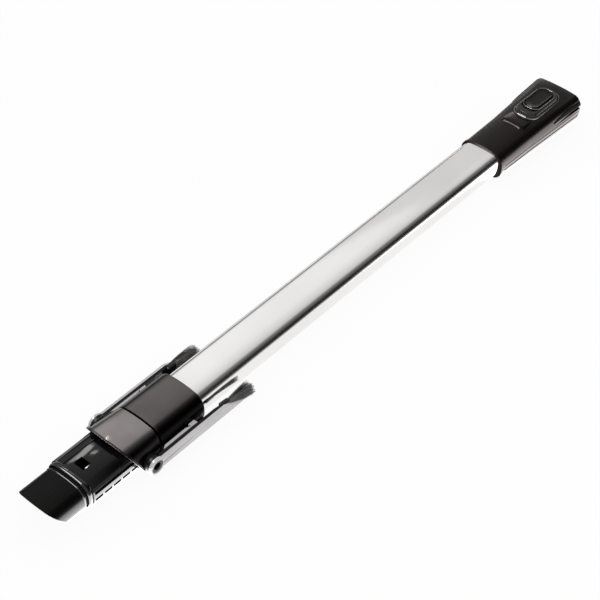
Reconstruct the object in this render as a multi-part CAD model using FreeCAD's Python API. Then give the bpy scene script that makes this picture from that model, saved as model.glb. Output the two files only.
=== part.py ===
import FreeCAD, Part
import math
import os

Vector = FreeCAD.Vector

# Telescopic vacuum wand, retracted and lying on its back, in millimetres.
# X runs along the wand from the mouth to the hose socket, Y to the left, Z out of the front face.
# While modelling, X is counted from the lip of the mouth and Z from the axis of the tubes.

# Whole wand
overall_length = 647.0
telescope_travel = 330.0
slide_clearance = 0.2
loose_clearance = 0.4
touch_gap = 0.3
rim_steps = 3

# Two oval aluminium tubes
tube_width = 38.6
tube_thick = 23.0
tube_corner_radius = 8.0
face_crown_radius = 75.0
side_crown_radius = 30.0
tube_wall = 1.0
tubes_gap = 1.5
inner_wall = 1.0
slide_ring_length = 16.0

# Nozzle tip and end fitting on the inner tube
tip_length = 32.4
tip_growth = 0.3
mouth_slant_deg = 38.0
tip_seal_width = 4.0
tip_seal_growth = -0.3
neck_growth = -1.0
neck_setback = 3.0
fitting_shown = 34.1
fitting_growth = 2.0
fitting_edge_radius = 1.0
fitting_seat_depth = 18.0
rail_height = 0.6
rail_setback = 1.5
rail_low = -6.0
rail_high = 8.0
long_slot_low = 3.0
long_slot_height = 3.0
short_slot_low = -3.2
short_slot_height = 2.6
short_slot_length = 7.2
short_slot_pitch = 9.0
slot_depth = 1.5
window_length = 8.0
window_width = 10.0
window_setback = 8.1
panel_width = 20.0
panel_depth = 0.6

# Collar: mouth ring, core and lock sleeve
nose_growth = 6.0
sleeve_growth = 3.8
collar_slant_deg = 28.0
mouth_ring_thick = 2.0
mouth_ring_proud = 0.9
nose_length = 31.7
web_thick = 7.0
bumper_thick = 2.5
core_neck_length = 33.0
core_neck_growth = 1.2
seam_gap = 0.4
seam_edge = 0.5
sleeve_length = 47.3
sleeve_taper = 0.2
sleeve_rim_radius = 1.5
sleeve_ledge = 3.6
sleeve_rim_wall = 6.0
spring_pocket_growth = 2.6
retaining_ring_length = 4.0
retaining_ring_height = 1.1
bush_flange_length = 10.0
bush_spigot_length = 15.0
shoe_length = 6.6
shoe_width = 11.6
shoe_setback = 2.0
spring_wire = 0.9
spring_half_width = 4.5
spring_height = 1.0
spring_folds = 6

# Arms with bristles, one on each narrow side of the collar
pivot_setback = 18.8
pivot_drop = 2.8
boss_radius = 7.0
boss_height = 1.7
pin_radius = 4.2
pin_clearance = 0.05
pin_depth = 4.0
pin_head_radius = 5.2
pin_head_thick = 1.0
pin_head_recess = 0.8
pin_hollow_radius = 3.3
pin_hollow_depth = 5.0
eye_radius = 7.6
arm_thick = 2.8
cover_thick = 2.6
arm_height = 10.0
arm_reach = 73.0
arm_end_thick = 1.8
arm_end_run = 8.0
cover_reach = 94.0
cover_edge_radius = 1.0
leaf_start = 10.5
leaf_length = 25.0
leaf_run = 5.0
leaf_rise = 0.6
lug_start = 41.0
lug_length = 6.0
lug_gap = 0.6
bristle_length = 34.0
bristle_root_thick = 2.3
bristle_root_height = 7.6
bristle_end_inset = 6.6
bristle_end_flare = 1.8
bristle_end_height = 10.4

# Socket housing with the release button
housing_length = 118.0
housing_rim_width = 42.8
housing_rim_front = 0.9
housing_rim_back = 4.0
housing_rim_corner = 9.5
housing_rim_lip = 0.7
housing_rim_lip_length = 4.0
housing_crease_run = 45.3
housing_crease_width = 44.0
housing_crease_front = 1.4
housing_crease_corner = 8.5
housing_end_width = 50.4
housing_end_front = 1.9
housing_end_corner = 6.4
housing_end_radius = 1.0
housing_crown_radius = 55.0
housing_end_crown_radius = 170.0
housing_split = -2.0
side_groove_length = 38.0
side_groove_low = 1.0
side_groove_height = 3.4
side_groove_depth = 2.0
socket_depth = 80.0
socket_growth = 0.1
socket_lead_in = 0.8
socket_wall = 0.9
socket_seal_width = 4.0
socket_seal_growth = -0.6
button_setback = 33.0
button_length = 31.0
button_width = 15.0
button_proud = 1.2
button_edge_radius = 1.0
button_travel = 1.4
button_flange = 1.7
button_flange_thick = 1.0
foot_length = 12.0
foot_width = 7.0
bezel_length = 50.0
bezel_width = 25.0
bezel_top_wall = 1.4
bezel_edge_radius = 1.2
bezel_draft = 1.6
bezel_shift = 3.0
leaf_spring_length = 24.0
leaf_spring_width = 2.4
leaf_spring_thick = 0.4
screw_setback = 27.0
screw_radius = 1.5
screw_head_radius = 3.0
screw_head_thick = 2.0
screw_recess = 1.0
screw_reach = 0.6

# Stations along the wand, from the lip of the mouth
fitting_start = tip_length + tip_seal_width
mouth_ring_start = fitting_start + fitting_shown
nose_start = mouth_ring_start + mouth_ring_thick
seam = nose_start + nose_length
cavity_end = seam - web_thick
fitting_end = cavity_end - bumper_thick - touch_gap
inner_start = fitting_start + fitting_seat_depth
sleeve_start = seam + seam_gap
sleeve_end = sleeve_start + sleeve_length
core_end = seam + core_neck_length
tube_start = seam + bush_flange_length
bush_end = tube_start + bush_spigot_length
tube_end = overall_length - socket_depth
ring_start = bush_end + telescope_travel + loose_clearance
inner_end = ring_start + slide_ring_length
pivot_x = nose_start + pivot_setback
housing_start = overall_length - housing_length
crease_x = housing_start + housing_crease_run
button_x = overall_length - button_setback

# Growths: how far each oval surface stands outside the outer tube's own outside
inner_growth = -tube_wall - tubes_gap
duct_growth = inner_growth - inner_wall
rail_growth = fitting_growth + rail_height
cavity_growth = rail_growth + loose_clearance
web_growth = inner_growth + loose_clearance
bush_growth = inner_growth + slide_clearance

# Levels
tip_half_thick = tube_thick / 2 + tip_growth
rest_depth = tube_thick / 2 + nose_growth + mouth_ring_proud
pivot_z = -pivot_drop
collar_side = tube_width / 2 + nose_growth
sleeve_side = tube_width / 2 + sleeve_growth
boss_face = collar_side + boss_height
arm_face = boss_face + touch_gap
arm_joint = arm_face + arm_thick
arm_outside = arm_joint + cover_thick
pocket_floor = tube_thick / 2 + socket_growth + socket_wall
flange_low = pocket_floor + button_travel + slide_clearance
flange_high = flange_low + button_flange_thick
bezel_low = flange_high + slide_clearance
bezel_high = bezel_low + bezel_top_wall
bezel_base = tube_thick / 2
far = 2 * overall_length

# Button's flange and the pocket that it moves in
flange_length = button_length + 2 * button_flange
flange_width = button_width + 2 * button_flange
pocket_length = flange_length + 2 * loose_clearance
pocket_width = flange_width + 2 * loose_clearance


def tangent_centre(first, first_reach, second, second_reach):
    """Point in the front left quarter at given distances from two other points (y, z)."""
    across = second[0] - first[0]
    up = second[1] - first[1]
    apart = math.hypot(across, up)
    along = (first_reach**2 - second_reach**2 + apart**2) / (2 * apart)
    aside = math.sqrt(first_reach**2 - along**2)
    y = first[0] + (along * across + aside * up) / apart
    z = first[1] + (along * up - aside * across) / apart
    return y, z


def oval_wire(x, width, thick, corner, face, side, centre_z=0.0):
    """Closed flat oval across the wand: crowned faces and sides, joined by tangent corner arcs."""
    face_centre = (0, thick / 2 - face)
    side_centre = (width / 2 - side, 0)
    y, z = tangent_centre(face_centre, face - corner, side_centre, side - corner)
    face_turn = math.atan2(y, z - face_centre[1])
    side_turn = math.atan2(z, y - side_centre[0])
    middle_turn = (math.pi / 2 - face_turn + side_turn) / 2
    face_end = (face * math.sin(face_turn), face_centre[1] + face * math.cos(face_turn))
    corner_middle = (y + corner * math.cos(middle_turn), z + corner * math.sin(middle_turn))
    side_end = (side_centre[0] + side * math.cos(side_turn), side * math.sin(side_turn))
    face_middle = (0, thick / 2)
    side_middle = (width / 2, 0)

    def arc(points, flip_y, flip_z):
        placed = [Vector(x, flip_y * point[0], flip_z * point[1] + centre_z) for point in points]
        return Part.Arc(*placed).toShape()

    def mirrored_y(point):
        return (-point[0], point[1])

    def mirrored_z(point):
        return (point[0], -point[1])

    corner_arc = (face_end, corner_middle, side_end)
    edges = [
        arc((mirrored_y(face_end), face_middle, face_end), 1, 1),
        arc(corner_arc, 1, 1),
        arc((side_end, side_middle, mirrored_z(side_end)), 1, 1),
        arc(corner_arc[::-1], 1, -1),
        arc((face_end, face_middle, mirrored_y(face_end)), 1, -1),
        arc(corner_arc, -1, -1),
        arc((mirrored_z(side_end), side_middle, side_end), -1, 1),
        arc(corner_arc[::-1], -1, 1),
    ]
    return Part.Wire(edges)


def grown_wire(x, growth):
    """Oval parallel to the outer tube's outside."""
    corner = tube_corner_radius + growth
    face = face_crown_radius + growth
    side = side_crown_radius + growth
    return oval_wire(x, tube_width + 2 * growth, tube_thick + 2 * growth, corner, face, side)


def prism(start, end, growth):
    """Solid oval bar between two stations."""
    return Part.Face(grown_wire(start, growth)).extrude(Vector(end - start, 0, 0))


def tapered(start, end, growth_start, growth_end):
    """Solid oval bar whose growth changes evenly between two stations."""
    return Part.makeLoft([grown_wire(start, growth_start), grown_wire(end, growth_end)], True, True)


def rounding(radius):
    """Steps of a rounded rim, from full size to its face: distance from the face and change of growth."""
    steps = []
    for index in range(rim_steps + 1):
        turn = math.radians(90 * index / rim_steps)
        steps.append((radius - radius * math.sin(turn), radius * math.cos(turn) - radius))
    return steps


def rounded_prism(start, end, growth, start_radius, end_radius, taper=0.0):
    """Solid oval bar with rounded rims; its growth falls by the taper towards the end."""
    sections = []
    for run, change in reversed(rounding(start_radius)):
        sections.append(grown_wire(start + run, growth + change))
    for run, change in rounding(end_radius):
        sections.append(grown_wire(end - run, growth - taper + change))
    return Part.makeLoft(sections, True, True)


def sleeve(start, end, outer_growth, inner_growth_here):
    """Oval ring or tube between two stations."""
    return prism(start, end, outer_growth).cut(prism(start, end, inner_growth_here))


def skin(start, end, growth, depth):
    """Space from a given depth under a grown surface to as far outside it."""
    return sleeve(start, end, growth + depth, growth - depth)


def block(x0, x1, y0, y1, z0, z1):
    return Part.makeBox(x1 - x0, y1 - y0, z1 - z0, Vector(x0, y0, z0))


def both_sides(shape):
    """The shape and its mirror image on the other narrow side."""
    return [shape, mirrored(shape)]


def mirrored(shape):
    return shape.mirror(Vector(0, 0, 0), Vector(0, 1, 0))


def pivot_cylinder(radius, y0, y1):
    """Round bar across the wand on the pivot of the left arm."""
    return Part.makeCylinder(radius, y1 - y0, Vector(pivot_x, y0, pivot_z), Vector(0, 1, 0))


def racetrack_wire(x, length, width, z):
    """Closed outline with round ends, long along the wand."""
    radius = width / 2
    reach = length / 2 - radius
    near = [Vector(x - reach, -radius, z), Vector(x + reach, -radius, z)]
    away = [Vector(x + reach, radius, z), Vector(x - reach, radius, z)]
    edges = [
        Part.makeLine(near[0], near[1]),
        Part.Arc(near[1], Vector(x + length / 2, 0, z), away[0]).toShape(),
        Part.makeLine(away[0], away[1]),
        Part.Arc(away[1], Vector(x - length / 2, 0, z), near[0]).toShape(),
    ]
    return Part.Wire(edges)


def racetrack(x, length, width, z0, z1):
    """Upright bar with round ends."""
    return Part.Face(racetrack_wire(x, length, width, z0)).extrude(Vector(0, 0, z1 - z0))


def rounded_racetrack(x, length, width, z0, z1, radius):
    """Upright bar with round ends and a rounded top edge."""
    sections = [racetrack_wire(x, length, width, z0)]
    for run, change in rounding(radius):
        sections.append(racetrack_wire(x, length + 2 * change, width + 2 * change, z1 - run))
    return Part.makeLoft(sections, True, True)


def outline_prism(points, direction):
    """Solid drawn from a closed run of straight edges."""
    return Part.Face(Part.makePolygon(points + points[:1])).extrude(direction)


def beyond_slant(setback, level, slant_deg):
    """Space behind a slanted plane that meets the given level at the set-back station."""
    slope = math.tan(math.radians(slant_deg))
    front_x = setback + (level - far) * slope
    back_x = setback + (level + far) * slope
    points = [
        Vector(front_x, -far, far),
        Vector(far + back_x, -far, far),
        Vector(far + back_x, -far, -far),
        Vector(back_x, -far, -far),
    ]
    return outline_prism(points, Vector(0, 2 * far, 0))


def beyond_mouth(setback):
    """Space behind the slanted plane of the mouth, set back along the wand."""
    return beyond_slant(setback, tip_half_thick, mouth_slant_deg)


def beyond_collar_mouth(start):
    """Space behind the slanted mouth of the collar, from a station on its front."""
    return beyond_slant(start, rest_depth, collar_slant_deg)


def make_outer_tube():
    return sleeve(tube_start, tube_end, 0, -tube_wall)


def make_inner_tube():
    return sleeve(inner_start, inner_end, inner_growth, duct_growth)


def make_slide_ring():
    return sleeve(ring_start, inner_end, -tube_wall - slide_clearance, inner_growth)


def fitting_neck():
    """Outside of the neck that carries the tip, before it is bored."""
    return prism(0, fitting_start, neck_growth).common(beyond_mouth(neck_setback))


def make_nozzle_tip():
    tip = prism(0, tip_length, tip_growth).common(beyond_mouth(0))
    return tip.cut(fitting_neck()).cut(prism(0, tip_length, duct_growth))


def make_tip_seal():
    return sleeve(tip_length, fitting_start, tip_seal_growth, neck_growth)


def side_rail():
    """Raised band on the fitting's left side."""
    start = fitting_start + rail_setback
    band = sleeve(start, fitting_end, rail_growth, fitting_growth)
    return band.common(block(start, fitting_end, 0, far, rail_low, rail_high))


def side_slots():
    """Cuts in the left rail: one long slot and a row of short ones."""
    start = fitting_start + 2 * rail_setback
    end = fitting_end - 2 * rail_setback
    slots = [block(start, end, 0, far, long_slot_low, long_slot_low + long_slot_height)]
    count = int((end - start) / short_slot_pitch)
    for index in range(count):
        x = start + index * short_slot_pitch
        high = short_slot_low + short_slot_height
        slots.append(block(x, x + short_slot_length, 0, far, short_slot_low, high))
    return skin(start, end, rail_growth, slot_depth).common(Part.makeCompound(slots))


def make_end_fitting():
    body = rounded_prism(fitting_start, fitting_end, fitting_growth, fitting_edge_radius, seam_edge)
    window_start = fitting_start + window_setback
    panel_half = panel_width / 2
    panel_end = fitting_end - rail_setback
    panel_space = block(fitting_start, panel_end, -panel_half, panel_half, 0, far)
    panel = skin(fitting_start, panel_end, fitting_growth, panel_depth).common(panel_space)
    window_half = window_width / 2
    window = block(window_start, window_start + window_length, -window_half, window_half, 0, far)
    body = body.cut(panel).fuse(both_sides(side_rail())).fuse(fitting_neck())
    body = body.cut(both_sides(side_slots())).cut(window)
    body = body.cut(prism(0, fitting_end, duct_growth))
    return body.cut(prism(inner_start, fitting_end, inner_growth)).removeSplitter()


def shoe_window(margin):
    """Space in the core's neck and the bush where the lock shoe sits."""
    start = seam + shoe_setback - margin
    half = shoe_width / 2 + margin
    return block(start, start + shoe_length + 2 * margin, -half, half, -far, 0)


def make_collar_core():
    flare = nose_growth - sleeve_growth
    nose = rounded_prism(nose_start, seam, nose_growth, seam_edge, seam_edge, flare)
    bosses = both_sides(pivot_cylinder(boss_radius, 0, boss_face))
    core = nose.fuse(bosses).common(beyond_collar_mouth(nose_start))
    core = core.fuse(prism(cavity_end, core_end, core_neck_growth))
    core = core.cut(prism(nose_start, cavity_end, cavity_growth))
    core = core.cut(prism(cavity_end, seam, web_growth))
    core = core.cut(prism(seam, core_end, 0))
    core = core.cut(both_sides(pivot_cylinder(pin_radius, boss_face - pin_depth, boss_face)))
    return core.cut(shoe_window(slide_clearance)).removeSplitter()


def make_mouth_ring():
    outer_growth = nose_growth + mouth_ring_proud
    space = beyond_collar_mouth(mouth_ring_start).cut(beyond_collar_mouth(nose_start))
    return sleeve(mouth_ring_start, cavity_end, outer_growth, cavity_growth).common(space)


def make_bumper_seal():
    return sleeve(cavity_end - bumper_thick, cavity_end, cavity_growth, web_growth)


def make_guide_bush():
    flange = prism(seam, tube_start, 0)
    spigot = prism(tube_start, bush_end, -tube_wall)
    bush = flange.fuse(spigot).cut(prism(seam, bush_end, bush_growth))
    return bush.cut(shoe_window(slide_clearance))


def make_lock_shoe():
    ring = sleeve(seam, tube_start, core_neck_growth, bush_growth)
    return ring.common(shoe_window(0))


def make_retaining_ring():
    outer_growth = core_neck_growth + retaining_ring_height
    return sleeve(core_end - retaining_ring_length, core_end, outer_growth, core_neck_growth)


def serpentine_spring(z0):
    """Flat folded spring between the sleeve's ledge and the retaining ring."""
    start = sleeve_start + sleeve_ledge + touch_gap
    end = core_end - retaining_ring_length
    pitch = (end - start - spring_wire) / spring_folds
    half = spring_half_width
    spring = None
    for index in range(spring_folds + 1):
        x = start + index * pitch
        bar = block(x, x + spring_wire, -half, half, z0, z0 + spring_height)
        spring = bar if spring is None else spring.fuse(bar)
        if index < spring_folds:
            edge = half - spring_wire if index % 2 else -half
            link = block(x, x + pitch + spring_wire, edge, edge + spring_wire, z0, z0 + spring_height)
            spring = spring.fuse(link)
    return spring.removeSplitter()


def make_sleeve_springs():
    low = tube_thick / 2 + core_neck_growth + slide_clearance
    return Part.makeCompound([serpentine_spring(low), serpentine_spring(-low - spring_height)])


def make_lock_sleeve():
    body = rounded_prism(sleeve_start, sleeve_end, sleeve_growth, seam_edge, sleeve_rim_radius, sleeve_taper)
    ledge_end = sleeve_start + sleeve_ledge
    rim_start = sleeve_end - sleeve_rim_wall
    body = body.cut(prism(sleeve_start, ledge_end, core_neck_growth + touch_gap))
    body = body.cut(prism(ledge_end, rim_start, spring_pocket_growth))
    return body.cut(prism(rim_start, sleeve_end, touch_gap))


def make_pivot_pin():
    """Hollow pin on the left side: pressed in the collar's boss, with a head in the arm's eye."""
    head_outside = arm_outside - pin_head_recess
    shank = pivot_cylinder(pin_radius, boss_face - pin_depth, head_outside)
    head = pivot_cylinder(pin_head_radius, head_outside - pin_head_thick, head_outside)
    hollow = pivot_cylinder(pin_hollow_radius, head_outside - pin_hollow_depth, head_outside)
    return shank.fuse(head).cut(hollow).removeSplitter()


def arm_bar(reach_front, reach_back, y0, y1):
    """Eye and straight bar of the left arm, with its end cut from front to back."""
    front = pivot_z + arm_height / 2
    back = pivot_z - arm_height / 2
    points = [
        Vector(pivot_x, y0, front),
        Vector(pivot_x + reach_front, y0, front),
        Vector(pivot_x + reach_back, y0, back),
        Vector(pivot_x, y0, back),
    ]
    bar = outline_prism(points, Vector(0, y1 - y0, 0))
    return bar.fuse(pivot_cylinder(eye_radius, y0, y1)).removeSplitter()


def make_arm():
    """Inner half of the left arm, with its leaf-shaped rib and the snap lug."""
    lug_face = sleeve_side + lug_gap
    leaf_face = arm_face - leaf_rise
    leaf_end = leaf_start + leaf_length
    lug_end = lug_start + lug_length
    plan = [
        (-eye_radius, arm_joint),
        (-eye_radius, arm_face),
        (leaf_start, arm_face),
        (leaf_start + leaf_run, leaf_face),
        (leaf_end - leaf_run, leaf_face),
        (leaf_end, arm_face),
        (lug_start, arm_face),
        (lug_start, lug_face),
        (lug_end, lug_face),
        (lug_end + leaf_rise, arm_face),
        (arm_reach - arm_end_run, arm_face),
        (arm_reach, arm_joint - arm_end_thick),
        (arm_reach, arm_joint),
    ]
    points = [Vector(pivot_x + x, y, pivot_z - eye_radius) for x, y in plan]
    slab = outline_prism(points, Vector(0, 0, 2 * eye_radius))
    bar = arm_bar(arm_reach, arm_reach, min(lug_face, leaf_face), arm_joint)
    bore = pivot_cylinder(pin_radius + pin_clearance, 0, arm_joint)
    return bar.common(slab).cut(bore).removeSplitter()


def make_arm_cover():
    """Outer half of the left arm: a smooth plate with a slanted point past the bristles' root."""
    plate = arm_bar(arm_reach, cover_reach, arm_joint, arm_outside)
    outer_face = max(plate.Faces, key=lambda face: face.CenterOfMass.y)
    plate = plate.makeChamfer(cover_edge_radius, outer_face.Edges)
    bore = pivot_cylinder(pin_radius + pin_clearance, arm_joint, arm_outside)
    head_seat = arm_outside - pin_head_recess - pin_head_thick - touch_gap
    counterbore = pivot_cylinder(pin_head_radius + touch_gap, head_seat, arm_outside)
    return plate.cut(bore).cut(counterbore)


def tuft_section(reach, y0, y1, height):
    x = pivot_x + reach
    front = pivot_z + height / 2
    back = pivot_z - height / 2
    corners = [Vector(x, y0, back), Vector(x, y1, back), Vector(x, y1, front), Vector(x, y0, front)]
    return Part.makePolygon(corners + corners[:1])


def make_bristles():
    """Outer form of the left arm's bristle tuft: it fans out from the arm's end."""
    inset = slide_clearance
    root_outside = arm_joint - inset
    end_reach = arm_reach + bristle_length
    end_inside = root_outside - bristle_end_inset
    end_outside = root_outside + bristle_end_flare
    point_share = (cover_reach - arm_reach) / bristle_length
    point_inside = root_outside - bristle_root_thick - point_share * (bristle_end_inset - bristle_root_thick)
    point_height = bristle_root_height + point_share * (bristle_end_height - bristle_root_height)
    sections = [
        tuft_section(arm_reach, root_outside - bristle_root_thick, root_outside, bristle_root_height),
        tuft_section(cover_reach, point_inside, root_outside, point_height),
        tuft_section(end_reach, end_inside, end_outside, bristle_end_height),
    ]
    return Part.makeLoft(sections, True, True)


def housing_wire(x, width, front, back, corner, crown):
    """Flat oval section of the housing, counted from the tube's own front and back."""
    thick = tube_thick + front + back
    return oval_wire(x, width, thick, corner, crown, side_crown_radius, (front - back) / 2)


def housing_outside():
    """Moulded outside: a lip at the rim, level behind it, then flared to the socket's face."""
    full_back = rest_depth - tube_thick / 2
    crown = housing_crown_radius
    end_crown = housing_end_crown_radius
    rim_size = (housing_rim_width, housing_rim_front, housing_rim_back, housing_rim_corner, crown)
    crease_size = (housing_crease_width, housing_crease_front, full_back, housing_crease_corner, crown)
    end_size = (housing_end_width, housing_end_front, full_back, housing_end_corner, end_crown)

    def section(x, size, growth):
        width, front, back, corner, crown = size
        return housing_wire(x, width + 2 * growth, front + growth, back + growth, corner + growth, crown)

    sections = [
        section(housing_start, rim_size, 0),
        section(housing_start + housing_rim_lip, rim_size, housing_rim_lip),
        section(housing_start + housing_rim_lip_length - housing_rim_lip, rim_size, housing_rim_lip),
        section(housing_start + housing_rim_lip_length, rim_size, 0),
        section(crease_x, crease_size, 0),
    ]
    for run, growth in rounding(housing_end_radius):
        sections.append(section(overall_length - run, end_size, growth))
    return Part.makeLoft(sections, True, True)


def side_groove():
    """Long recess in the housing's left side, open at the socket's face."""
    inside = housing_end_width / 2 - side_groove_depth
    start = overall_length - side_groove_length
    return block(start, overall_length, inside, far, side_groove_low, side_groove_low + side_groove_height)


def housing_body():
    """Both shells together, bored for the tube, the hose end's spigot and the button."""
    lead_start = overall_length - socket_lead_in
    lead_in = tapered(lead_start, overall_length, socket_growth, socket_growth + socket_lead_in)
    play = 2 * loose_clearance
    foot_hole = racetrack(button_x, foot_length + play, foot_width + play, 0, far)
    body = housing_outside().cut(prism(housing_start, tube_end, 0))
    body = body.cut(prism(tube_end, overall_length, socket_growth)).cut(lead_in)
    body = body.cut(racetrack(button_x, pocket_length, pocket_width, pocket_floor, far)).cut(foot_hole)
    return body.cut(both_sides(side_groove())).cut(tube_screw_solid())


def make_top_shell():
    return housing_body().common(block(0, far, -far, far, housing_split, far)).removeSplitter()


def make_bottom_shell():
    return housing_body().common(block(0, far, -far, far, -far, housing_split)).removeSplitter()


def tube_screw_solid():
    """Screw from the back through the bottom shell into the tube, with the recess under its head."""
    x = housing_start + screw_setback
    head_top = -tube_thick / 2 - screw_recess
    shank_top = -tube_thick / 2 + tube_wall + screw_reach
    shank = Part.makeCylinder(screw_radius, shank_top - head_top, Vector(x, 0, head_top))
    recess = Part.makeCylinder(screw_head_radius, rest_depth + head_top, Vector(x, 0, -rest_depth))
    return shank.fuse(recess)


def make_tube_screw():
    x = housing_start + screw_setback
    head_top = -tube_thick / 2 - screw_recess
    shell_space = block(x - far, x + far, -far, far, head_top - screw_head_thick, far)
    return tube_screw_solid().common(shell_space).removeSplitter()


def make_socket_seal():
    return sleeve(tube_end, tube_end + socket_seal_width, socket_growth, socket_seal_growth)


def make_button_bezel():
    bezel_x = button_x - bezel_shift
    base = racetrack_wire(bezel_x, bezel_length, bezel_width, bezel_base)
    top_length = bezel_length - 2 * bezel_draft
    top_width = bezel_width - 2 * bezel_draft
    sections = [base]
    for run, change in rounding(bezel_edge_radius):
        length = top_length + 2 * change
        sections.append(racetrack_wire(bezel_x, length, top_width + 2 * change, bezel_high - run))
    island = Part.makeLoft(sections, True, True)
    hole_length = button_length + 2 * loose_clearance
    hole_width = button_width + 2 * loose_clearance
    island = island.cut(racetrack(button_x, pocket_length, pocket_width, 0, bezel_low))
    island = island.cut(racetrack(button_x, hole_length, hole_width, 0, far))
    return island.cut(housing_outside())


def make_release_button():
    pad_high = bezel_high + button_proud
    pad = rounded_racetrack(button_x, button_length, button_width, flange_low, pad_high, button_edge_radius)
    flange = racetrack(button_x, flange_length, flange_width, flange_low, flange_high)
    foot_low = tube_thick / 2 + socket_growth + loose_clearance
    foot = racetrack(button_x, foot_length, foot_width, foot_low, flange_high)
    return pad.fuse(flange).fuse(foot).removeSplitter()


def leaf_spring(y0):
    """Bowed strip between the pocket's floor and the button's flange."""
    half = leaf_spring_length / 2
    top = flange_low - touch_gap / 2
    foot_top = pocket_floor + leaf_spring_thick
    rise = top - leaf_spring_thick

    def at(x, z):
        return Vector(button_x + x, y0, z)

    under = Part.Arc(at(-half, pocket_floor), at(0, rise), at(half, pocket_floor)).toShape()
    over = Part.Arc(at(half, foot_top), at(0, top), at(-half, foot_top)).toShape()
    right_end = Part.makeLine(at(half, pocket_floor), at(half, foot_top))
    left_end = Part.makeLine(at(-half, foot_top), at(-half, pocket_floor))
    profile = Part.Wire([under, right_end, over, left_end])
    return Part.Face(profile).extrude(Vector(0, leaf_spring_width, 0))


def make_button_springs():
    y0 = foot_width / 2 + 2 * loose_clearance
    return Part.makeCompound([leaf_spring(y0), leaf_spring(-y0 - leaf_spring_width)])


left_pin = make_pivot_pin()
left_arm = make_arm()
left_cover = make_arm_cover()
left_bristles = make_bristles()

pieces = {
    "outer_tube": make_outer_tube().cut(tube_screw_solid()),
    "collar_core": make_collar_core(),
    "mouth_ring": make_mouth_ring(),
    "bumper_seal": make_bumper_seal(),
    "guide_bush": make_guide_bush(),
    "lock_shoe": make_lock_shoe(),
    "retaining_ring": make_retaining_ring(),
    "sleeve_springs": make_sleeve_springs(),
    "left_pivot_pin": left_pin,
    "right_pivot_pin": mirrored(left_pin),
    "top_shell": make_top_shell(),
    "bottom_shell": make_bottom_shell(),
    "tube_screw": make_tube_screw(),
    "button_bezel": make_button_bezel(),
    "button_springs": make_button_springs(),
    "socket_seal": make_socket_seal(),
    "inner_tube": make_inner_tube(),
    "slide_ring": make_slide_ring(),
    "end_fitting": make_end_fitting(),
    "nozzle_tip": make_nozzle_tip(),
    "tip_seal": make_tip_seal(),
    "lock_sleeve": make_lock_sleeve(),
    "release_button": make_release_button(),
    "left_arm": left_arm,
    "left_arm_cover": left_cover,
    "left_bristles": left_bristles,
    "right_arm": mirrored(left_arm),
    "right_arm_cover": mirrored(left_cover),
    "right_bristles": mirrored(left_bristles),
}

# The stored frame: origin under the middle of the wand, on the surface that its back lies on.
to_rest = Vector(-overall_length / 2, 0, rest_depth)

os.makedirs("parts", exist_ok=True)
for name, shape in pieces.items():
    placed = shape.copy()
    placed.translate(to_rest)
    placed.exportStep("parts/" + name + ".step")
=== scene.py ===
import math
import random

import bmesh
import bpy
from mathutils import Matrix, Vector


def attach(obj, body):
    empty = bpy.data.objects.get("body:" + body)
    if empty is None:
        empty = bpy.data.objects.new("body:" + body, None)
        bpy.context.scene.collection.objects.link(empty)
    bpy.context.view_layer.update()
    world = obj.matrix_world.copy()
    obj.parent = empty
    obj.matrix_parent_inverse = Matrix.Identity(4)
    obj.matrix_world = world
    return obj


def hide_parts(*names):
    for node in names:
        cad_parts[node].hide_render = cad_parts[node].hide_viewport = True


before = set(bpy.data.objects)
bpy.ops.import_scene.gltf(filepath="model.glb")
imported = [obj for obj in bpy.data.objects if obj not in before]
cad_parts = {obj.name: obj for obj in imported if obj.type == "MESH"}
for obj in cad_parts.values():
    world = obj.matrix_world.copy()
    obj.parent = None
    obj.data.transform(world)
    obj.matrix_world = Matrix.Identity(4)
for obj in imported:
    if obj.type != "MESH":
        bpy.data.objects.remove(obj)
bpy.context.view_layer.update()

# Outer tube: one length of thin-walled oval aluminium, drawn, satin anodised and clear coated.
# It carries everything else: the collar is pressed on its lower end, the housing is screwed on its upper end.
# Stations along the wand count in mm from the nozzle's lip, growths in mm outwards from this tube's outside.
mm = 0.001
lip_x = -323.5 * mm
axis_z = 18.4 * mm
oval_width = 38.6 * mm
oval_thick = 23.0 * mm
oval_corner = 8.0 * mm
oval_face_crown = 75.0 * mm
oval_side_crown = 30.0 * mm
face_steps = 10
corner_steps = 10
side_steps = 4
tube_start = 114.2
tube_end = 567.0
tube_wall = 1.0
noise_low = 0.3
noise_high = 0.7


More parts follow.
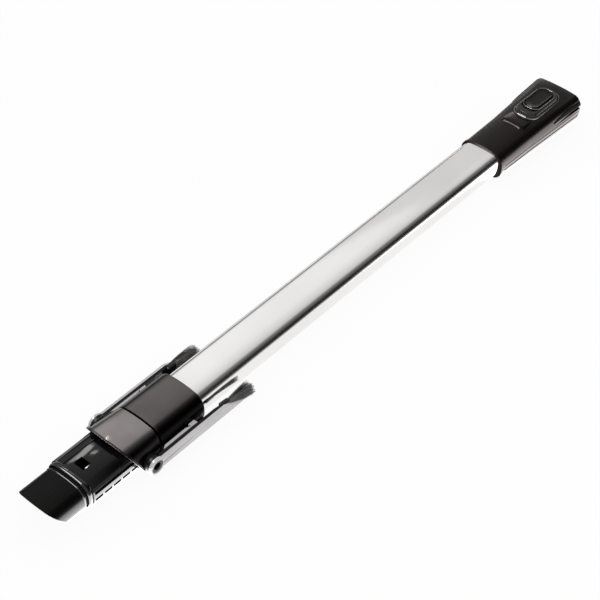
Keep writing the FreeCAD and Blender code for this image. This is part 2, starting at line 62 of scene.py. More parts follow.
def oval_ring(bm, station, growth):
    """One closed ring of the wand's flat oval at a station, grown outwards."""
    x = lip_x + station * mm
    grown = growth * mm
    face_z = oval_thick / 2 - oval_face_crown
    side_y = oval_width / 2 - oval_side_crown
    face_reach = oval_face_crown - oval_corner
    side_reach = oval_side_crown - oval_corner
    apart = math.hypot(side_y, face_z)
    along = (face_reach**2 - side_reach**2 + apart**2) / (2 * apart)
    aside = math.sqrt(face_reach**2 - along**2)
    corner_y = (along * side_y - aside * face_z) / apart
    corner_z = face_z + (-along * face_z - aside * side_y) / apart
    face_turn = math.atan2(corner_y, corner_z - face_z)
    side_turn = math.atan2(corner_z, corner_y - side_y)
    corner_turn = math.pi / 2 - face_turn - side_turn
    arcs = [
        (0, face_z, face_turn, face_steps // 2),
        (corner_y, corner_z, corner_turn, corner_steps),
        (side_y, 0, 2 * side_turn, side_steps),
        (corner_y, -corner_z, corner_turn, corner_steps),
        (0, -face_z, 2 * face_turn, face_steps),
        (-corner_y, -corner_z, corner_turn, corner_steps),
        (-side_y, 0, 2 * side_turn, side_steps),
        (-corner_y, corner_z, corner_turn, corner_steps),
        (0, face_z, face_turn, face_steps // 2),
    ]
    old_verts = set(bm.verts)
    old_edges = set(bm.edges)
    tip = bm.verts.new((x, 0, axis_z + oval_thick / 2 + grown))
    for y, z, turn, steps in arcs:
        centre = (x, y, axis_z + z)
        spun = bmesh.ops.spin(bm, geom=[tip], cent=centre, axis=(1, 0, 0), angle=-turn, steps=steps)
        tip = [v for v in spun["geom_last"] if isinstance(v, bmesh.types.BMVert)][0]
    ring = [v for v in bm.verts if v not in old_verts]
    bmesh.ops.remove_doubles(bm, verts=ring, dist=1e-6)
    return [e for e in bm.edges if e not in old_edges]


def oval_run(bm, profile):
    """Skin over rings at (station, growth) points, the last ring joined to the first."""
    rings = [oval_ring(bm, station, growth) for station, growth in profile]
    for ring, after in zip(rings, rings[1:] + rings[:1]):
        bmesh.ops.bridge_loops(bm, edges=ring + after)
    bmesh.ops.recalc_face_normals(bm, faces=bm.faces)


def oval_tube(bm, start, end, outside, inside):
    """Length of oval tube between two stations and two growths."""
    oval_run(bm, [(start, outside), (end, outside), (end, inside), (start, inside)])


def round_edges(piece, edge, sharp_deg):
    """Rounds a piece's sharp edges by a radius in mm."""
    rounding = piece.modifiers.new("rounded_edges", "BEVEL")
    rounding.width = edge * mm
    rounding.segments = 3
    rounding.limit_method = "ANGLE"
    rounding.angle_limit = math.radians(sharp_deg)
    rounding.harden_normals = True
    return rounding


def finished(bm, name, material, edge=0.0, sharp_deg=35):
    """Turns a bmesh into a smooth-shaded object, with its sharp edges rounded by the given radius in mm."""
    mesh = bpy.data.meshes.new(name)
    bm.to_mesh(mesh)
    bm.free()
    piece = bpy.data.objects.new(name, mesh)
    bpy.context.scene.collection.objects.link(piece)
    mesh.materials.append(material)
    mesh.shade_smooth()
    if edge:
        round_edges(piece, edge, sharp_deg)
    return piece


def finish_nodes(name):
    """New procedural material: returns it with its node tree, main shader and Object coordinates."""
    material = bpy.data.materials.new(name)
    material.use_nodes = True
    tree = material.node_tree
    shader = tree.nodes["Principled BSDF"]
    coords = tree.nodes.new("ShaderNodeTexCoord")
    return material, tree, shader, coords.outputs["Object"]


def grain(tree, coords, scale, stretch=(1, 1, 1), detail=3.0):
    """Noise on the piece, finer across than along where it is stretched."""
    mapping = tree.nodes.new("ShaderNodeMapping")
    mapping.inputs["Scale"].default_value = stretch
    tree.links.new(coords, mapping.inputs["Vector"])
    noise = tree.nodes.new("ShaderNodeTexNoise")
    noise.inputs["Scale"].default_value = scale
    noise.inputs["Detail"].default_value = detail
    tree.links.new(mapping.outputs["Vector"], noise.inputs["Vector"])
    return noise.outputs["Fac"]


def spread(tree, factor, low, high):
    """Maps a noise to a range of plain numbers."""
    ranged = tree.nodes.new("ShaderNodeMapRange")
    ranged.inputs["From Min"].default_value = noise_low
    ranged.inputs["From Max"].default_value = noise_high
    ranged.inputs["To Min"].default_value = low
    ranged.inputs["To Max"].default_value = high
    tree.links.new(factor, ranged.inputs["Value"])
    return ranged.outputs["Result"]


def tint(tree, factor, dark, light):
    """Colour between two tones, led by a noise."""
    ramp = tree.nodes.new("ShaderNodeValToRGB")
    ramp.color_ramp.elements[0].position = noise_low
    ramp.color_ramp.elements[1].position = noise_high
    ramp.color_ramp.elements[0].color = (*dark, 1)
    ramp.color_ramp.elements[1].color = (*light, 1)
    tree.links.new(factor, ramp.inputs["Fac"])
    return ramp.outputs["Color"]


def relief(tree, shader, height, strength, depth):
    """Fine surface relief, its depth in metres."""
    bump = tree.nodes.new("ShaderNodeBump")
    bump.inputs["Strength"].default_value = strength
    bump.inputs["Distance"].default_value = depth
    tree.links.new(height, bump.inputs["Height"])
    tree.links.new(bump.outputs["Normal"], shader.inputs["Normal"])


def drawn_aluminium(name, dark, light, smooth, rough):
    """Aluminium with the fine lines of drawing along its length."""
    material, tree, shader, coords = finish_nodes(name)
    lines = grain(tree, coords, scale=900, stretch=(0.02, 1, 1))
    clouds = grain(tree, coords, scale=18)
    shader.inputs["Metallic"].default_value = 1.0
    tree.links.new(tint(tree, clouds, dark, light), shader.inputs["Base Color"])
    tree.links.new(spread(tree, lines, smooth, rough), shader.inputs["Roughness"])
    relief(tree, shader, lines, strength=0.08, depth=0.00002)
    return material


satin_tube = drawn_aluminium("satin_tube", dark=(0.84, 0.83, 0.82), light=(0.9, 0.89, 0.88), smooth=0.13, rough=0.2)
bm = bmesh.new()
oval_tube(bm, tube_start, tube_end, outside=0, inside=-tube_wall)
outer_tube = finished(bm, "outer_tube_drawn", satin_tube, edge=0.25)
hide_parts("outer_tube")
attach(outer_tube, "outer_wand")

# Inner tube: a smaller drawn oval tube of bright aluminium that slides in the outer one.
# The end fitting is pressed on its lower end and a plastic slide ring on its upper end.
inner_start = 54.5
inner_end = 475.6
inner_gap = 2.5
inner_wall = 1.0


def grey(tone):
    """Neutral colour."""
    return (tone, tone, tone)


bright_tube = drawn_aluminium("bright_tube", dark=grey(0.8), light=grey(0.86), smooth=0.1, rough=0.18)
bm = bmesh.new()
oval_tube(bm, inner_start, inner_end, outside=-inner_gap, inside=-inner_gap - inner_wall)
inner_tube = finished(bm, "inner_tube_drawn", bright_tube, edge=0.2)
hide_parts("inner_tube")
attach(inner_tube, "inner_wand")

# Moulded guides inside the tubes: bush, slide ring, lock shoe and retaining ring, in natural plastic.
# They are pressed in place and hardly seen, so their solids stay and only get their finish.
solid_sharp_deg = 32
join_distance = 0.004 * mm


def moulded(name, dark, light, smooth, rough, metallic=0.0, gloss=0.5):
    """Injection-moulded plastic: slight tone, fine grain of the tool's surface."""
    material, tree, shader, coords = finish_nodes(name)
    clouds = grain(tree, coords, scale=45)
    fine = grain(tree, coords, scale=1400)
    tree.links.new(tint(tree, clouds, dark, light), shader.inputs["Base Color"])
    tree.links.new(spread(tree, fine, smooth, rough), shader.inputs["Roughness"])
    shader.inputs["Metallic"].default_value = metallic
    shader.inputs["Specular IOR Level"].default_value = gloss
    relief(tree, shader, fine, strength=0.15, depth=0.00001)
    return material


def rounded_solid():
    """Node group that joins a solid's loose triangles and shades all but its sharp edges smooth."""
    group = bpy.data.node_groups.new("joined_smooth", "GeometryNodeTree")
    group.interface.new_socket("Geometry", in_out="INPUT", socket_type="NodeSocketGeometry")
    group.interface.new_socket("Geometry", in_out="OUTPUT", socket_type="NodeSocketGeometry")
    inlet = group.nodes.new("NodeGroupInput")
    outlet = group.nodes.new("NodeGroupOutput")
    merge = group.nodes.new("GeometryNodeMergeByDistance")
    merge.inputs["Distance"].default_value = join_distance
    smooth = group.nodes.new("GeometryNodeSetShadeSmooth")
    sharp = group.nodes.new("GeometryNodeSetShadeSmooth")
    sharp.domain = "EDGE"
    sharp.inputs["Shade Smooth"].default_value = False
    angle = group.nodes.new("GeometryNodeInputMeshEdgeAngle")
    steep = group.nodes.new("FunctionNodeCompare")
    steep.operation = "GREATER_THAN"
    steep.inputs["B"].default_value = math.radians(solid_sharp_deg)
    group.links.new(inlet.outputs["Geometry"], merge.inputs["Geometry"])
    group.links.new(merge.outputs["Geometry"], smooth.inputs["Geometry"])
    group.links.new(smooth.outputs["Geometry"], sharp.inputs["Geometry"])
    group.links.new(angle.outputs["Unsigned Angle"], steep.inputs["A"])
    group.links.new(steep.outputs["Result"], sharp.inputs["Selection"])
    group.links.new(sharp.outputs["Geometry"], outlet.inputs["Geometry"])
    return group


joined_smooth = rounded_solid()


def dress(node, material, edge=0.0, clamp=True):
    """Gives a solid that stays its finish, smooth shading and rounded edges."""
    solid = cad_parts[node]
    solid.data.materials.clear()
    solid.data.materials.append(material)
    joined = solid.modifiers.new("joined_smooth", "NODES")
    joined.node_group = joined_smooth
    if edge:
        rounding = round_edges(solid, edge, solid_sharp_deg)
        rounding.use_clamp_overlap = clamp


natural_plastic = moulded(
    "natural_plastic", dark=(0.68, 0.67, 0.62), light=(0.74, 0.73, 0.68), smooth=0.4, rough=0.55
)
for node in ("guide_bush", "slide_ring", "lock_shoe", "retaining_ring"):
    dress(node, natural_plastic)

# Springs and screw: bright spring steel and a zinc-plated screw, all hidden inside the mouldings.
# The flat folded springs push the sleeve back, the bowed strips lift the button.
bright_steel = drawn_aluminium("bright_steel", dark=grey(0.5), light=grey(0.6), smooth=0.22, rough=0.34)
for node in ("sleeve_springs", "button_springs", "tube_screw"):
    dress(node, bright_steel)

# Seals: black rubber rings at the tip, in the collar and in the socket.
# They are moulded, stretched into their grooves, and stop air from leaking in where two pieces meet.
rubber = moulded("seal_rubber", dark=grey(0.002), light=grey(0.004), smooth=0.55, rough=0.7, gloss=0.05)
for node in ("tip_seal", "bumper_seal", "socket_seal"):
    dress(node, rubber)

# Nozzle tip: slanted suction mouth, moulded in black plastic and pushed over the fitting's neck.
# A low polished bead runs round its upper edge.
tip_bead_profile = [(30.1, 0.28), (31.4, 0.75), (31.8, 0.75), (32.2, 0.3), (31.4, -0.4)]
tip_black = moulded(
    "tip_black", dark=(0.0012, 0.001, 0.0009), light=(0.0028, 0.0024, 0.0021), smooth=0.22, rough=0.3, gloss=0.09
)
dress("nozzle_tip", tip_black, edge=0.5, clamp=False)
bm = bmesh.new()
oval_run(bm, tip_bead_profile)
bead_gloss = moulded("bead_gloss", dark=grey(0.002), light=grey(0.004), smooth=0.1, rough=0.16, gloss=0.45)
tip_bead = finished(bm, "tip_bead", bead_gloss)
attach(tip_bead, "inner_wand")

# End fitting: polished black moulding on the inner tube, with slotted side rails and the catch's window.
# Its lower end has a sloped lead-in lip, and a small steel leaf lies along the window's right edge.
lip_station = lip_x / mm
fitting_lip_profile = [(34.0, 1.0), (34.2, 1.58), (35.5, 2.05), (38.6, 2.05), (38.9, 1.3)]
window_leaf_size = (5.4, 1.6, 0.5)
window_leaf_place = (lip_station + 49.4, -4.2, 30.3)
window_leaf_tilt = math.radians(-18)


def in_metres(bm):
    """Brings a piece that was modelled in mm to the frame's metres."""
    bmesh.ops.scale(bm, vec=(mm, mm, mm), verts=bm.verts)


fitting_gloss = moulded("fitting_gloss", dark=grey(0.002), light=grey(0.004), smooth=0.07, rough=0.12, gloss=0.25)
dress("end_fitting", fitting_gloss, edge=0.25)
bm = bmesh.new()
oval_run(bm, fitting_lip_profile)
fitting_lip = finished(bm, "fitting_lip", bead_gloss)
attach(fitting_lip, "inner_wand")
bm = bmesh.new()
bmesh.ops.create_cube(bm, size=1)
bmesh.ops.scale(bm, vec=window_leaf_size, verts=bm.verts)
bmesh.ops.rotate(bm, verts=bm.verts, matrix=Matrix.Rotation(window_leaf_tilt, 3, "X"))
bmesh.ops.translate(bm, verts=bm.verts, vec=window_leaf_place)
in_metres(bm)
window_leaf = finished(bm, "window_leaf", bright_steel)
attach(window_leaf, "inner_wand")

# Collar: a nose with a slanted mouth ring, pressed on the outer tube, and the lock sleeve that slides on its neck.
# All three are mouldings painted metallic grey, and the nose's and sleeve's paint carries painted shade, darker on
# their flanks and at their seam.
# Painted shade: where the nose and sleeve paint turns darker across the flanks and along the seam.
nose_flank_shade = (13.5, 21.5)
nose_seam_shade = (-219.6, -218.9)
sleeve_flank_shade = (10.5, 19.5)
sleeve_seam_shade = (-217.4, -218.2)
flank_painted_shade = 0.06
seam_painted_shade = 0.0
nose_paint = moulded(
    "nose_paint", dark=(0.24, 0.22, 0.215), light=(0.28, 0.26, 0.255), smooth=0.2, rough=0.25, metallic=1.0
)
ring_paint = moulded(
    "ring_paint", dark=(0.05, 0.046, 0.045), light=(0.06, 0.055, 0.054), smooth=0.2, rough=0.25, metallic=1.0
)
sleeve_paint = moulded(
    "sleeve_paint", dark=(0.108, 0.099, 0.097), light=(0.128, 0.118, 0.115), smooth=0.2, rough=0.25, metallic=1.0
)


def place_on_wand(tree):
    """Distances on a piece, in metres: aside from the wand's middle and along it."""
    coords = tree.nodes.new("ShaderNodeTexCoord")
    place = tree.nodes.new("ShaderNodeSeparateXYZ")
    tree.links.new(coords.outputs["Object"], place.inputs["Vector"])
    aside = tree.nodes.new("ShaderNodeMath")
    aside.operation = "ABSOLUTE"
    tree.links.new(place.outputs["Y"], aside.inputs[0])
    return aside.outputs["Value"], place.outputs["X"]


def add_painted_shade(material, flank, seam):
    """Adds painted shade to paint: darker towards the flanks, between two distances from the middle, and past a
    seam across the wand.
    """
    tree = material.node_tree
    shader = tree.nodes["Principled BSDF"]
    plain_colour = shader.inputs["Base Color"].links[0].from_socket
    aside, along = place_on_wand(tree)
    shades = []
    for distance, (light_at, dark_at), darkest in ((aside, flank, flank_painted_shade), (along, seam, seam_painted_shade)):
        shade = tree.nodes.new("ShaderNodeMapRange")
        shade.interpolation_type = "SMOOTHSTEP"
        shade.inputs["From Min"].default_value = light_at * mm
        shade.inputs["From Max"].default_value = dark_at * mm
        shade.inputs["To Min"].default_value = 1.0
        shade.inputs["To Max"].default_value = darkest
        tree.links.new(distance, shade.inputs["Value"])
        shades.append(shade.outputs["Result"])
    both = tree.nodes.new("ShaderNodeMath")
    both.operation = "MULTIPLY"
    tree.links.new(shades[0], both.inputs[0])
    tree.links.new(shades[1], both.inputs[1])
    scaled = tree.nodes.new("ShaderNodeVectorMath")
    scaled.operation = "SCALE"
    tree.links.new(plain_colour, scaled.inputs["Vector"])
    tree.links.new(both.outputs["Value"], scaled.inputs["Scale"])
    tree.links.new(scaled.outputs["Vector"], shader.inputs["Base Color"])


# Painted shade on the nose and sleeve paint: darker flanks and a dark band at their seam.
add_painted_shade(nose_paint, nose_flank_shade, nose_seam_shade)
add_painted_shade(sleeve_paint, sleeve_flank_shade, sleeve_seam_shade)
dress("collar_core", nose_paint)
dress("mouth_ring", ring_paint, edge=0.3)
dress("lock_sleeve", sleeve_paint, edge=0.06, clamp=False)

# Housing: two black satin shells round the tube's upper end, their open far end being the hose's socket.
# They are moulded in black plastic with a warm gloss, and a screw holds them on the tube.
housing_black = moulded(
    "housing_black", dark=(0.002, 0.0016, 0.0014), light=(0.004, 0.0033, 0.0028), smooth=0.2, rough=0.28, gloss=0.18
)


def warm_gloss(material):
    """Gives a plastic's gloss a warm tone."""
    shader = material.node_tree.nodes["Principled BSDF"]
    shader.inputs["Specular Tint"].default_value = (1.0, 0.87, 0.8, 1)


warm_gloss(housing_black)
dress("top_shell", housing_black, edge=0.3)
dress("bottom_shell", housing_black, edge=0.3)

# Side recess shade: long thin matt black wedge sheets laid just proud of the housing's sides, running out at the
# socket's face.
# They are painted shade, standing for the shade inside the shells' side recesses.
recess_start = 284.5
recess_length = 38.6
recess_foot = 4.2
recess_height = 4.6
recess_blunt = 0.25
recess_opening = 1.5
recess_proud = 0.12
recess_thick = 0.4
side_half_width = 23.35
side_flare = 1.85
side_crown = 30
shoulder_from = 5.2
shoulder_radius = 5.5
# Matt black for the parting lines and washers, also used as painted shade for the side recess sheets.
matt_black_and_recess_shade = moulded("matt_black_and_recess_shade", dark=grey(0.002), light=grey(0.004), smooth=0.6, rough=0.75, gloss=0.05)
for sign, side in ((1, "left"), (-1, "right")):
    bm = bmesh.new()
    bmesh.ops.create_grid(bm, x_segments=24, y_segments=8, size=0.5)
    for vert in bm.verts:
        along = vert.co.x + 0.5
        share = min(1, recess_blunt + along * recess_opening)
        up = recess_foot + (vert.co.y + 0.5) * recess_height * share
        fall = up**2 / (2 * side_crown) + max(0, up - shoulder_from) ** 2 / (2 * shoulder_radius)
        half_width = side_half_width + side_flare * along
        aside = half_width - fall + recess_proud
        vert.co = Vector((recess_start + recess_length * along, sign * aside, up + axis_z / mm))
    bmesh.ops.recalc_face_normals(bm, faces=bm.faces)
    bmesh.ops.solidify(bm, geom=bm.faces, thickness=recess_thick)
    in_metres(bm)
    # Painted shade: a matt black sheet over the part of the side that lies in the recess's shade.
    recess_shade_sheet = finished(bm, side + "_side_recess", matt_black_and_recess_shade)
    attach(recess_shade_sheet, "outer_wand")

# Parting lines: fine dark joints along the housing's sides, where the shells meet and at a step below.
# They follow the shells' moulded sides, so each is laid on the solid it belongs to.
parting_levels = (("top_shell", 17.0), ("bottom_shell", 12.4))
parting_middle = 267.0
parting_length = 108.0
parting_width = 0.7
parting_proud = 0.05
parting_thick = 0.2
beside_wand = 40
for shell, level in parting_levels:
    for sign, side in ((1, "left"), (-1, "right")):
        bm = bmesh.new()
        bmesh.ops.create_grid(bm, x_segments=48, y_segments=1, size=0.5)
        for vert in bm.verts:
            x = (parting_middle + parting_length * vert.co.x) * mm
            z = (level + parting_width * vert.co.y) * mm
            start = Vector((x, sign * beside_wand * mm, z))
            spot = bpy.data.objects[shell].ray_cast(start, Vector((0, -sign, 0)))[1]
            vert.co = spot + Vector((0, sign * parting_proud * mm, 0))
        bmesh.ops.recalc_face_normals(bm, faces=bm.faces)
        bmesh.ops.solidify(bm, geom=bm.faces, thickness=parting_thick * mm)
        line = finished(bm, side + "_" + shell + "_line", matt_black_and_recess_shade)
        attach(line, "outer_wand")

# Crease: a soft moulded step across the housing's front, where it starts to flare.
# It is part of the front shell and dies out towards the button.
pad_segments = 64
step_middle = 258.0
step_crown = 55.0
step_tilt = math.radians(5.5)
step_hinge = (249, 0, 31.3)
step_rings = [
    (22.4, 28.0, 5.2, 30.1),
    (18.2, 24.0, 3.9, 32.2),
    (16.8, 22.4, 3.5, 32.85),
    (15.0, 20.4, 3.0, 33.1),
    (6, 10, 2.0, 33.1),
]


def pad_run(bm, middle, crown, profile):
    """Skins over rounded rectangles (length, width, corner, height) in mm, laid over a crowned face."""
    half_step = Matrix.Rotation(math.pi / pad_segments, 3, "Z")
    rings = []
    for length, width, corner, height in profile:
        ring = bmesh.ops.create_circle(bm, segments=pad_segments, radius=corner)["verts"]
        bmesh.ops.rotate(bm, verts=ring, cent=(0, 0, 0), matrix=half_step)
        for vert in ring:
            vert.co.x += math.copysign(length / 2 - corner, vert.co.x)
            vert.co.y += math.copysign(width / 2 - corner, vert.co.y)
            vert.co.z = height - vert.co.y**2 / (2 * crown)
        bmesh.ops.translate(bm, vec=(middle, 0, 0), verts=ring)
        rings.append(list({e for v in ring for e in v.link_edges}))
    for ring, after in zip(rings, rings[1:]):
        bmesh.ops.bridge_loops(bm, edges=ring + after)
    bmesh.ops.contextual_create(bm, geom=rings[-1])
    bmesh.ops.recalc_face_normals(bm, faces=bm.faces)


bm = bmesh.new()
pad_run(bm, step_middle, step_crown, step_rings)
bmesh.ops.rotate(bm, verts=bm.verts, cent=step_hinge, matrix=Matrix.Rotation(step_tilt, 3, "Y"))
in_metres(bm)
crease = finished(bm, "housing_crease", housing_black)
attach(crease, "outer_wand")

# Bezel: raised oval island moulded round the button, with a thin chamfered lip at its foot.
# It clips into the housing's front shell and guides the button in its well.
bezel_middle = 287.5
bezel_crown = 95.0
bezel_rings = [
    (48.6, 24.6, 9.5, 30.9),
    (48.6, 24.6, 9.5, 32.0),
    (46.6, 22.6, 8.6, 32.9),
    (46.2, 22.2, 8.4, 32.4),
    (43.8, 20.0, 8.0, 35.0),
    (43.2, 19.4, 7.8, 35.3),
    (34.4, 17.0, 6.6, 35.3),
    (34.0, 16.6, 6.4, 35.1),
    (34.0, 16.6, 6.4, 33.7),
]
bezel_gloss = moulded(
    "bezel_gloss", dark=(0.005, 0.0045, 0.004), light=(0.009, 0.008, 0.007), smooth=0.14, rough=0.2, gloss=0.4
)
bm = bmesh.new()
pad_run(bm, bezel_middle, bezel_crown, bezel_rings)
in_metres(bm)
bezel = finished(bm, "bezel_island", bezel_gloss, edge=0.15, sharp_deg=25)
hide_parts("button_bezel")
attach(bezel, "outer_wand")

# Polished beads: one round the bezel's foot and one round the button's well.
# Both are moulded in one with the bezel and buffed bright.
button_middle = 290.5
button_crown = 400.0
foot_bead_rings = [
    (49.2, 25.2, 9.8, 31.0),
    (49.2, 25.2, 9.8, 31.9),
    (48.5, 24.5, 9.4, 32.45),
    (47.7, 23.7, 9.1, 32.6),
    (46.9, 22.9, 8.7, 32.4),
    (46.4, 22.4, 8.5, 31.6),
]
well_bead_rings = [
    (34.0, 18.0, 7.4, 35.2),
    (33.8, 17.8, 7.3, 35.55),
    (33.2, 17.2, 7.0, 35.75),
    (32.6, 16.6, 6.7, 35.55),
    (32.4, 16.4, 6.6, 35.0),
]
beads = (
    ("foot_bead", bezel_middle, bezel_crown, foot_bead_rings),
    ("well_bead", button_middle, button_crown, well_bead_rings),
)
bead_polish = moulded(
    "bead_polish", dark=(0.15, 0.142, 0.135), light=(0.18, 0.17, 0.162), smooth=0.15, rough=0.2, metallic=1.0
)
for name, middle, crown, rings in beads:
    bm = bmesh.new()
    pad_run(bm, middle, crown, rings)
    lids = [face for face in bm.faces if len(face.verts) > 4]
    bmesh.ops.delete(bm, geom=lids, context="FACES_ONLY")
    in_metres(bm)
    bead = finished(bm, name, bead_polish)
    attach(bead, "outer_wand")

# Release button: dished black pad with a fine chamfered rim, moulded in one with its guide flange.
# Two bowed springs under the flange lift it against the bezel.
button_rings = [
    (34.2, 16.0, 6.2, 33.24),
    (34.2, 16.0, 6.2, 33.4),
    (31.6, 15.6, 6.2, 33.5),
    (31.0, 15.0, 6.0, 35.5),
    (29.4, 13.4, 5.2, 36.2),
    (29.0, 13.0, 5.0, 36.25),
    (28.2, 12.2, 4.8, 36.05),
    (20.0, 8.0, 3.0, 35.9),
]
button_black = moulded(
    "button_black", dark=(0.002, 0.0018, 0.0016), light=(0.004, 0.0036, 0.0032), smooth=0.22, rough=0.3, gloss=0.18
)
warm_gloss(button_black)
bm = bmesh.new()
pad_run(bm, button_middle, button_crown, button_rings)
in_metres(bm)
button = finished(bm, "button_pad", button_black, edge=0.12, sharp_deg=25)
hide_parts("release_button")
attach(button, "button")

# Dusting-brush arms: black mouldings with a pale inner leaf and rib, each turning on a hollow pin in the collar.
# A pale cover plate is snapped on the outside of each and runs on to a slanted point.
# A matt washer keeps each arm's eye off the collar.
leaf_tone = (0.52, 0.5, 0.51, 1)
leaf_within = 27.1
arm_beyond = 27.5
pivot_x = -232.2
pivot_z = 15.6
washer_y = 24.4
washer_radius = 7.2
washer_thick = 5.4
leaf_plan = [(-221.0, 27.5), (-217.0, 24.8), (-195.0, 24.8), (-189.0, 27.5)]
leaf_foot = 18.4
leaf_height = 2.5


def two_tone(material, inner_tone):
    """Gives a material another tone towards the wand's middle."""
    mix_factor, mix_inner, mix_outer, mix_result = 0, 6, 7, 2
    tree = material.node_tree
    shader = tree.nodes["Principled BSDF"]
    plain_colour = shader.inputs["Base Color"].links[0].from_socket
    aside = place_on_wand(tree)[0]
    outwards = tree.nodes.new("ShaderNodeMapRange")
    outwards.inputs["From Min"].default_value = leaf_within * mm
    outwards.inputs["From Max"].default_value = arm_beyond * mm
    tree.links.new(aside, outwards.inputs["Value"])
    tones = tree.nodes.new("ShaderNodeMix")
    tones.data_type = "RGBA"
    tones.inputs[mix_inner].default_value = inner_tone
    tree.links.new(outwards.outputs["Result"], tones.inputs[mix_factor])
    tree.links.new(plain_colour, tones.inputs[mix_outer])
    tree.links.new(tones.outputs[mix_result], shader.inputs["Base Color"])


arm_black = moulded(
    "arm_black", dark=grey(0.004), light=(0.008, 0.0075, 0.0075), smooth=0.3, rough=0.4, gloss=0.12
)
two_tone(arm_black, leaf_tone)
cover_silver = moulded(
    "cover_silver", dark=(0.52, 0.505, 0.515), light=(0.6, 0.585, 0.595), smooth=0.22, rough=0.3
)
pin_dark = drawn_aluminium("pin_dark", dark=grey(0.06), light=grey(0.09), smooth=0.25, rough=0.35)
for sign, side in ((1, "left"), (-1, "right")):
    dress(side + "_arm", arm_black, edge=0.25)
    dress(side + "_arm_cover", cover_silver, edge=0.25)
    dress(side + "_pivot_pin", pin_dark, edge=0.2)
    bm = bmesh.new()
    radius = washer_radius * mm
    bmesh.ops.create_cone(bm, cap_ends=True, segments=64, radius1=radius, radius2=radius, depth=washer_thick * mm)
    bmesh.ops.rotate(bm, verts=bm.verts, matrix=Matrix.Rotation(math.radians(90), 3, "X"))
    bmesh.ops.translate(bm, verts=bm.verts, vec=(pivot_x * mm, sign * washer_y * mm, pivot_z * mm))
    washer = finished(bm, side + "_washer", matt_black_and_recess_shade, edge=0.3)
    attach(washer, "outer_wand")
    bm = bmesh.new()
    foot = bm.faces.new([bm.verts.new((x * mm, sign * y * mm, leaf_foot * mm)) for x, y in leaf_plan])
    grown = bmesh.ops.extrude_face_region(bm, geom=[foot])["geom"]
    raised = [v for v in grown if isinstance(v, bmesh.types.BMVert)]
    bmesh.ops.translate(bm, verts=raised, vec=(0, 0, leaf_height * mm))
    bmesh.ops.recalc_face_normals(bm, faces=bm.faces)
    leaf = finished(bm, side + "_leaf", arm_black, edge=0.4)
    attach(leaf, side + "_brush")

# Bristle tufts: flat fans of grey nylon filament, crimped in a black clip at the end of each arm.
# The filaments spread and droop a little towards their tips.
strands = 260
strand_seed = 11
strand_root = 0.24
strand_tip = 0.1
strand_reach = 199.3
strand_uneven = 5.0
strand_slant = 3.0
strand_shortest = 5
strand_cuts = 3
root_inset = 6
root_y, root_breadth = 27.8, 2.4
root_z, root_height = 11.6, 7.4
tip_y, tip_breadth = 24.0, 7.9
tip_z, tip_height = 9.4, 11.2
tip_scatter = 0.4
droop = 3.2
droop_length = 28
clip_from = 162.8
clip_to = 172.0
clip_size = (clip_to - clip_from, 4.6, 9.4)
clip_taper = (1, 0.86, 0.9)
clip_y = 27.9
clip_z = 15.4
clip_edge = 0.9


def striped_nylon():
    """Grey filament, every few strands paler, with a soft shine along its length."""
    material, tree, shader, coords = finish_nodes("striped_nylon")
    stripes = grain(tree, coords, scale=1100, stretch=(0.05, 1, 1), detail=2.0)
    colour = tint(tree, stripes, dark=(0.012, 0.012, 0.011), light=(0.2, 0.195, 0.19))
    tree.links.new(colour, shader.inputs["Base Color"])
    tree.links.new(spread(tree, stripes, low=0.28, high=0.42), shader.inputs["Roughness"])
    return material


nylon = striped_nylon()
clip_black = moulded("clip_black", dark=grey(0.004), light=grey(0.007), smooth=0.2, rough=0.3, gloss=0.3)
for side, sign in (("left", 1), ("right", -1)):
    chance = random.Random(strand_seed)
    bm = bmesh.new()
    for strand in range(strands):
        across = chance.random()
        up = chance.random()
        root_x = clip_to - root_inset + lip_station
        root = Vector((root_x, sign * (root_y + root_breadth * across), root_z + root_height * up))
        reach = strand_reach - strand_uneven * chance.random() ** 2 - strand_slant * up
        end_z = tip_z + tip_height * up + chance.uniform(-tip_scatter, tip_scatter)
        end = Vector((reach + lip_station, sign * (tip_y + tip_breadth * across), end_z))
        run = end - root
        place = Matrix.Translation((root + end) / 2) @ run.to_track_quat("Z", "Y").to_matrix().to_4x4()
        bmesh.ops.create_cone(
            bm, cap_ends=True, segments=3, radius1=strand_root, radius2=strand_tip, depth=run.length, matrix=place
        )
    long_edges = [e for e in bm.edges if e.calc_length() > strand_shortest]
    bmesh.ops.subdivide_edges(bm, edges=long_edges, cuts=strand_cuts)
    for vert in bm.verts:
        along = (vert.co.x - lip_station - clip_to) / droop_length
        vert.co.z -= droop * max(0, along) ** 2
    in_metres(bm)
    tuft = finished(bm, side + "_tuft", nylon)
    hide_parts(side + "_bristles")
    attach(tuft, side + "_brush")
    bm = bmesh.new()
    bmesh.ops.create_cube(bm, size=1)
    bmesh.ops.scale(bm, vec=clip_size, verts=bm.verts)
    outer = [v for v in bm.verts if v.co.x > 0]
    bmesh.ops.scale(bm, vec=clip_taper, verts=outer)
    bmesh.ops.translate(bm, vec=((clip_from + clip_to) / 2 + lip_station, sign * clip_y, clip_z), verts=bm.verts)
    bmesh.ops.bevel(
        bm,
        geom=bm.edges,
        offset=clip_edge,
        offset_type="OFFSET",
        segments=3,
        profile=0.5,
        affect="EDGES",
        material=-1,
    )
    in_metres(bm)
    clip = finished(bm, side + "_clip", clip_black)
    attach(clip, side + "_brush")

# Studio floor: a plain sheet of white paper that keeps the wand's soft shadow.
# To the camera and in reflections most of its white is its own glow, which puts no more light on the wand.
paper_glow = 0.93
floor_half = 12


def stage_material(name):
    """New plain material for the studio: returns it with its node tree."""
    material = bpy.data.materials.new(name)
    material.use_nodes = True
    return material, material.node_tree


